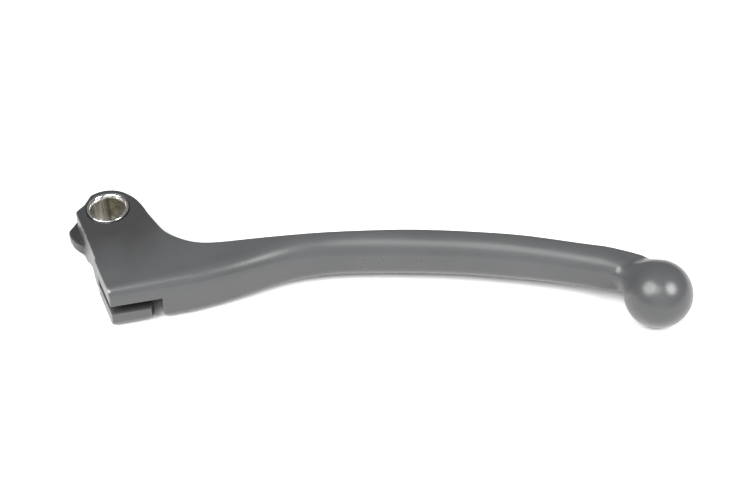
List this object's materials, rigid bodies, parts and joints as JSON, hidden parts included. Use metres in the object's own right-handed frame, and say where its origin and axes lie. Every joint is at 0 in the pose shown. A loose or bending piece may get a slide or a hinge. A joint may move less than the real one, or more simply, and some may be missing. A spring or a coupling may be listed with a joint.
{
  "type": "clutch lever",
  "caption": "Cast aluminium hand lever with a ball tip, a cable slot and nipple pocket, a stop lug and a turned steel pivot collar that it swings on.",
  "frame": {"origin": "on the pivot axis, in the plane that the lever lies on, which is the lower end face of the pivot collar", "axes": "+X from the pivot along the blade to the ball, +Y towards the handlebar, -Y the side that the cable hooks into, +Z along the pivot axis"},
  "size_m": [0.1852, 0.0486, 0.02],
  "materials": {
    "coated_aluminium": "dark grey semi-matte powder coat",
    "turned_steel": "bright, finely turned"
  },
  "bodies": {
    "collar": {"pivot_collar": "turned_steel"},
    "lever": {"lever_casting": "coated_aluminium"}
  },
  "joints": [
    {"name": "lever_pivot", "type": "hinge", "parent": "collar", "child": "lever", "pos_m": [0, 0, 0.008], "axis": [0, 0, 1], "range_deg": [0, 22]}
  ]
}
